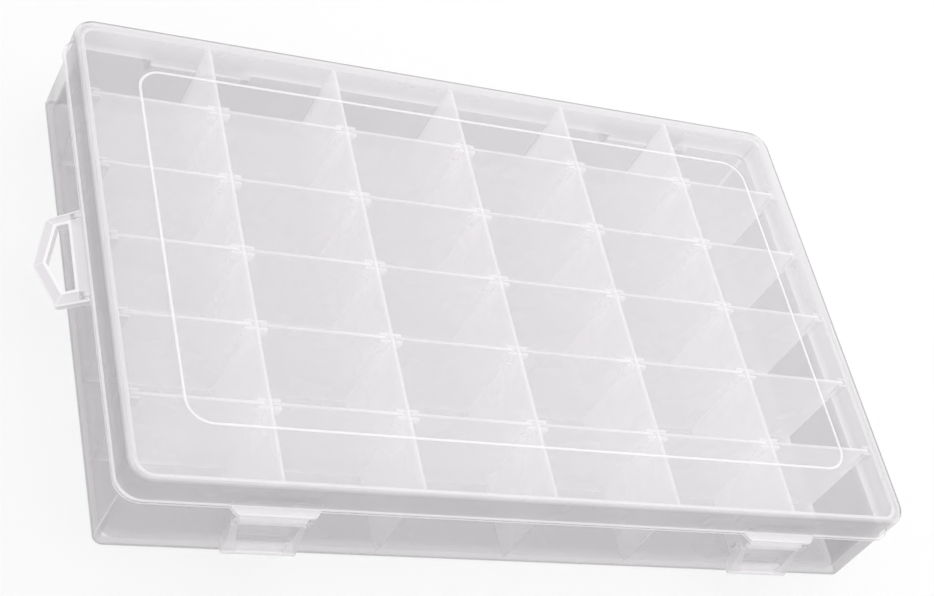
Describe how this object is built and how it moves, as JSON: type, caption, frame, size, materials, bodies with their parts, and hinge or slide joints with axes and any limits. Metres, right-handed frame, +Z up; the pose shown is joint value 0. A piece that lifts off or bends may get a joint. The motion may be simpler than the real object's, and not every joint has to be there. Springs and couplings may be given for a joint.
{
  "type": "compartment storage box",
  "caption": "Clear plastic box with a hinged lid, two front latches, a grid of compartments with lift-out dividers and a five-sided hang loop at one end.",
  "frame": {"origin": "middle of the flat underside", "axes": "+X along the length to the right with the latches in front, -Y to the front, +Z up through the lid"},
  "size_m": [0.2882, 0.1846, 0.0403],
  "materials": {
    "clear_shell": "clear, smooth, softly glossy",
    "clear_divider": "clear, slightly milky, softly glossy",
    "clear_loop": "translucent, softly glossy"
  },
  "bodies": {
    "base": {"base_tray": "clear_shell", "partition_1": "clear_shell", "partition_2": "clear_shell", "partition_3": "clear_shell", "partition_4": "clear_shell", "partition_5": "clear_shell", "divider_c1_r1": "clear_divider", "divider_c1_r2": "clear_divider", "divider_c1_r3": "clear_divider", "divider_c1_r4": "clear_divider", "divider_c1_r5": "clear_divider", "divider_c2_r1": "clear_divider", "divider_c2_r2": "clear_divider", "divider_c2_r3": "clear_divider", "divider_c2_r4": "clear_divider", "divider_c2_r5": "clear_divider", "divider_c3_r1": "clear_divider", "divider_c3_r2": "clear_divider", "divider_c3_r3": "clear_divider", "divider_c3_r4": "clear_divider", "divider_c3_r5": "clear_divider", "divider_c4_r1": "clear_divider", "divider_c4_r2": "clear_divider", "divider_c4_r3": "clear_divider", "divider_c4_r4": "clear_divider", "divider_c4_r5": "clear_divider", "divider_c5_r1": "clear_divider", "divider_c5_r2": "clear_divider", "divider_c5_r3": "clear_divider", "divider_c5_r4": "clear_divider", "divider_c5_r5": "clear_divider", "divider_c6_r1": "clear_divider", "divider_c6_r2": "clear_divider", "divider_c6_r3": "clear_divider", "divider_c6_r4": "clear_divider", "divider_c6_r5": "clear_divider"},
    "lid": {"lid": "clear_shell"},
    "latch_left": {"latch_left": "clear_shell"},
    "latch_right": {"latch_right": "clear_shell"},
    "hang_loop": {"hang_loop": "clear_loop"}
  },
  "joints": [
    {"name": "lid_hinge", "type": "hinge", "parent": "base", "child": "lid", "pos_m": [0, 0.0896, 0.0244], "axis": [-1, 0, 0], "range_deg": [0, 180]},
    {"name": "latch_left_hinge", "type": "hinge", "parent": "lid", "child": "latch_left", "pos_m": [-0.0895, -0.0875, 0.0244], "axis": [-1, 0, 0], "range_deg": [0, 115]},
    {"name": "latch_right_hinge", "type": "hinge", "parent": "lid", "child": "latch_right", "pos_m": [0.0895, -0.0875, 0.0244], "axis": [-1, 0, 0], "range_deg": [0, 115]},
    {"name": "hang_loop_hinge", "type": "hinge", "parent": "base", "child": "hang_loop", "pos_m": [-0.1376, 0, 0.0252], "axis": [0, 1, 0], "range_deg": [-58, 40]}
  ]
}
